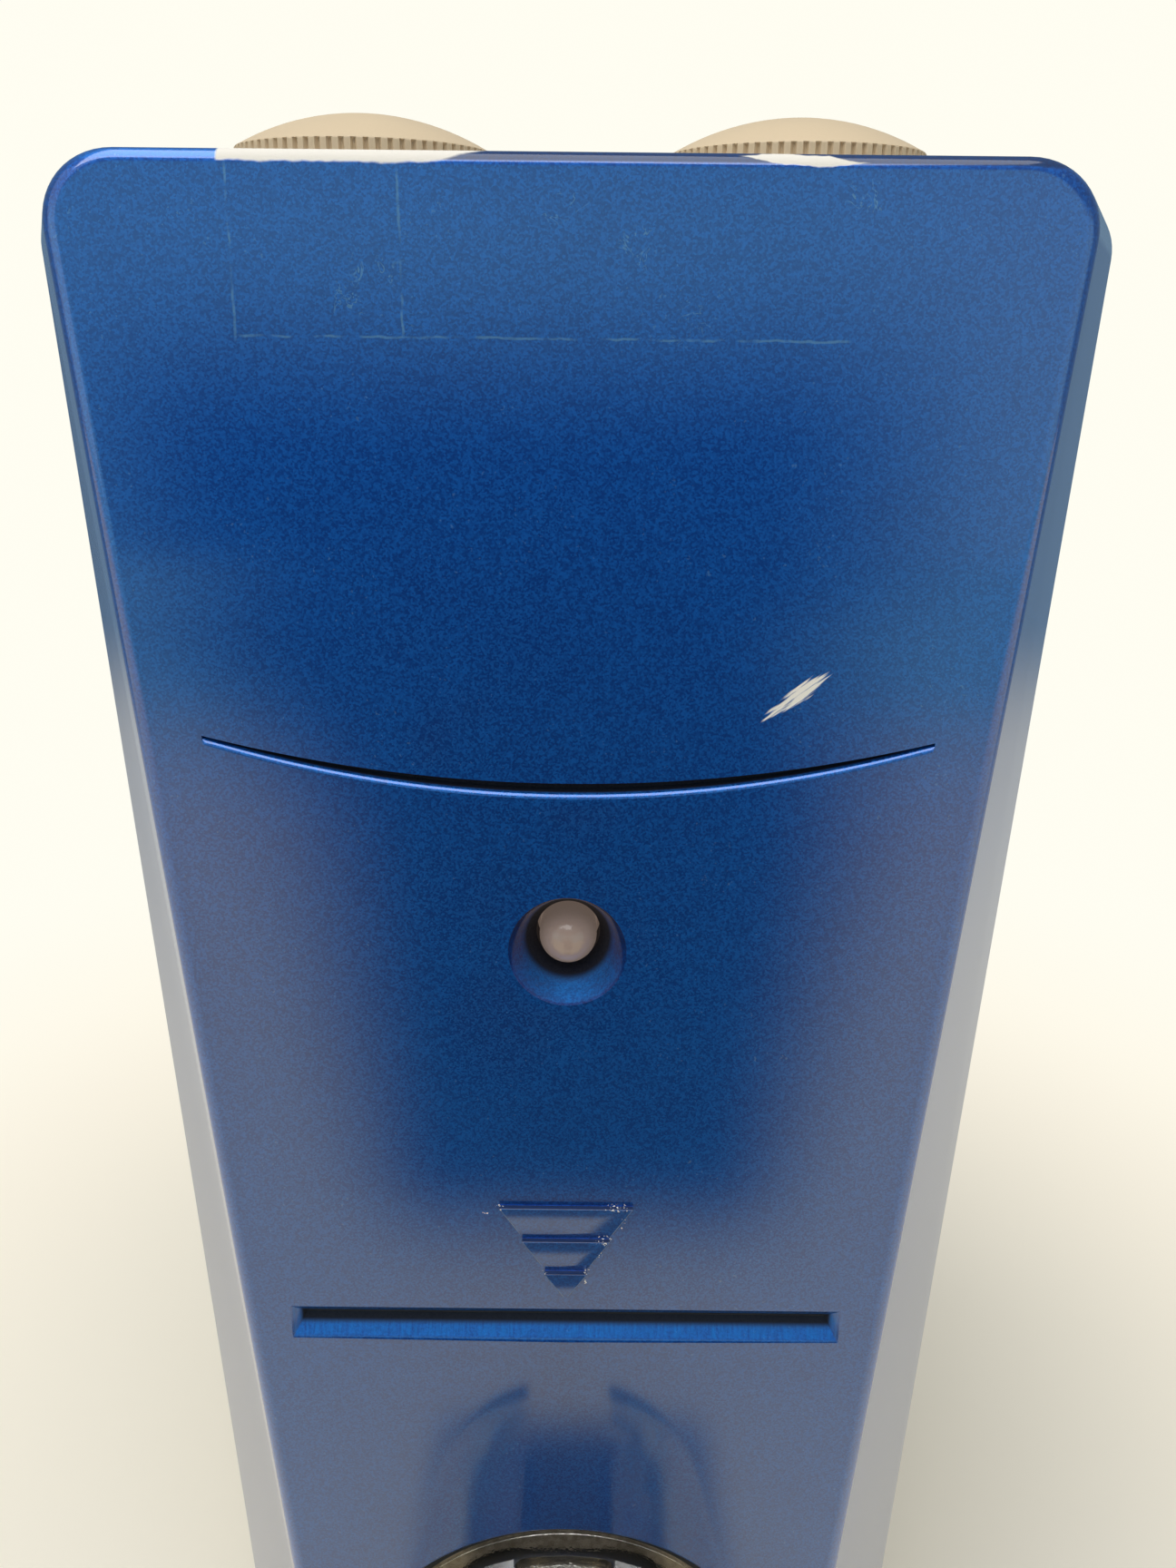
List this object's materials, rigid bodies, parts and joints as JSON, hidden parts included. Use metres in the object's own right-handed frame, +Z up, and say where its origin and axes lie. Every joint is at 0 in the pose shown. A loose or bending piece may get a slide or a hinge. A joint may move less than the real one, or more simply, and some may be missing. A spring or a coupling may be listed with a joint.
{
  "type": "tube heat sealer",
  "caption": "upright bench-top radio-frequency heat sealer for plastic tubing, with leaning front panel, clear head guard, setting knobs, mains inlet and switch",
  "frame": {"origin": "middle of the footprint, on the surface the feet stand on", "axes": "+Z up, front panel and sealing head face -Y, +X to the right seen from the front"},
  "size_m": [0.1002, 0.1566, 0.2088],
  "materials": {
    "blue_shell": "deep blue metallic paint under clear coat",
    "grey_shell": "fine moulded texture",
    "knob_plastic": "satin",
    "black_plastic": "satin",
    "black_insulator": "fine matt",
    "clear_guard": "clear, polished",
    "led_lens": "milky diffused lens",
    "rubber": "matt",
    "speckled_metal": "cast, lightly speckled",
    "zinc_steel": "zinc plated",
    "steel": "ground",
    "brass": "machined",
    "aluminium": "machined",
    "copper": "enamelled wire",
    "board": "solder mask",
    "ferrite": "sintered",
    "ceramic_white": "glazed",
    "capacitor_sleeve": "shrink sleeve",
    "tape": "polyester tape",
    "fuse_glass": "clear"
  },
  "bodies": {
    "housing": {"front_shell": "blue_shell", "rear_shell": "grey_shell", "rubber_feet": "rubber", "foot_screws": "zinc_steel", "head_plate": "speckled_metal", "head_body": "black_insulator", "fixed_electrode": "brass", "electrode_nut": "brass", "rf_strap": "copper", "head_frame": "zinc_steel", "guide_rods": "steel", "jaw_springs": "steel", "solenoid_yoke": "zinc_steel", "solenoid_coil": "tape", "solenoid_core": "steel", "trigger_spring": "steel", "trigger_switch": "black_plastic", "ready_led": "led_lens", "led_board": "board", "time_pot": "aluminium", "power_pot": "aluminium", "pot_nuts": "brass", "mains_inlet": "black_plastic", "inlet_pins": "steel", "inlet_screws": "zinc_steel", "rocker_frame": "black_plastic", "chassis_plate": "zinc_steel", "chassis_screws": "zinc_steel", "rf_board": "board", "power_board": "board", "board_standoffs": "brass", "board_screws": "zinc_steel", "tank_coil": "copper", "coil_former": "ceramic_white", "tuning_capacitor": "ceramic_white", "power_transistor": "black_plastic", "heat_sink": "aluminium", "transformer_core": "ferrite", "transformer_winding": "tape", "capacitors": "capacitor_sleeve", "housing_screws": "zinc_steel", "plate_screws": "zinc_steel", "head_screws": "zinc_steel"},
    "time_control": {"time_knob": "knob_plastic", "time_shaft": "brass"},
    "power_control": {"power_knob": "knob_plastic", "power_shaft": "brass"},
    "jaw": {"jaw_carriage": "aluminium", "carriage_bushes": "brass", "moving_electrode": "brass", "solenoid_plunger": "steel", "plunger_clip": "steel"},
    "trigger": {"tube_trigger": "black_plastic"},
    "guard": {"splash_guard": "clear_guard", "guard_seal": "rubber"},
    "rocker": {"rocker_paddle": "black_plastic"},
    "fuse_holder": {"fuse_drawer": "black_plastic", "fuses": "fuse_glass"}
  },
  "joints": [
    {"name": "time_knob_turn", "type": "hinge", "parent": "housing", "child": "time_control", "pos_m": [-0.0245, 0.01901, 0.2], "axis": [0, 0, 1], "range_deg": [-150, 150]},
    {"name": "power_knob_turn", "type": "hinge", "parent": "housing", "child": "power_control", "pos_m": [0.0245, 0.01901, 0.2], "axis": [0, 0, 1], "range_deg": [-150, 150]},
    {"name": "jaw_close", "type": "slide", "parent": "housing", "child": "jaw", "axis": [-1, 0, 0], "range_m": [0, 0.0054], "stiffness_N_per_m": 600, "springref_m": -0.002, "deforming": ["jaw_springs"]},
    {"name": "trigger_press", "type": "slide", "parent": "housing", "child": "trigger", "axis": [0, 0.9976, -0.0698], "range_m": [0, 0.003], "stiffness_N_per_m": 150, "springref_m": -0.002, "deforming": ["trigger_spring"]},
    {"name": "guard_pull", "type": "slide", "parent": "housing", "child": "guard", "axis": [0, -0.9976, 0.0698], "range_m": [0, 0.045]},
    {"name": "rocker_tilt", "type": "hinge", "parent": "housing", "child": "rocker", "pos_m": [0, 0.07301, 0.084], "axis": [-1, 0, 0], "range_deg": [0, 16]},
    {"name": "fuse_drawer_pull", "type": "slide", "parent": "housing", "child": "fuse_holder", "axis": [0, 1, 0], "range_m": [0, 0.022]}
  ]
}
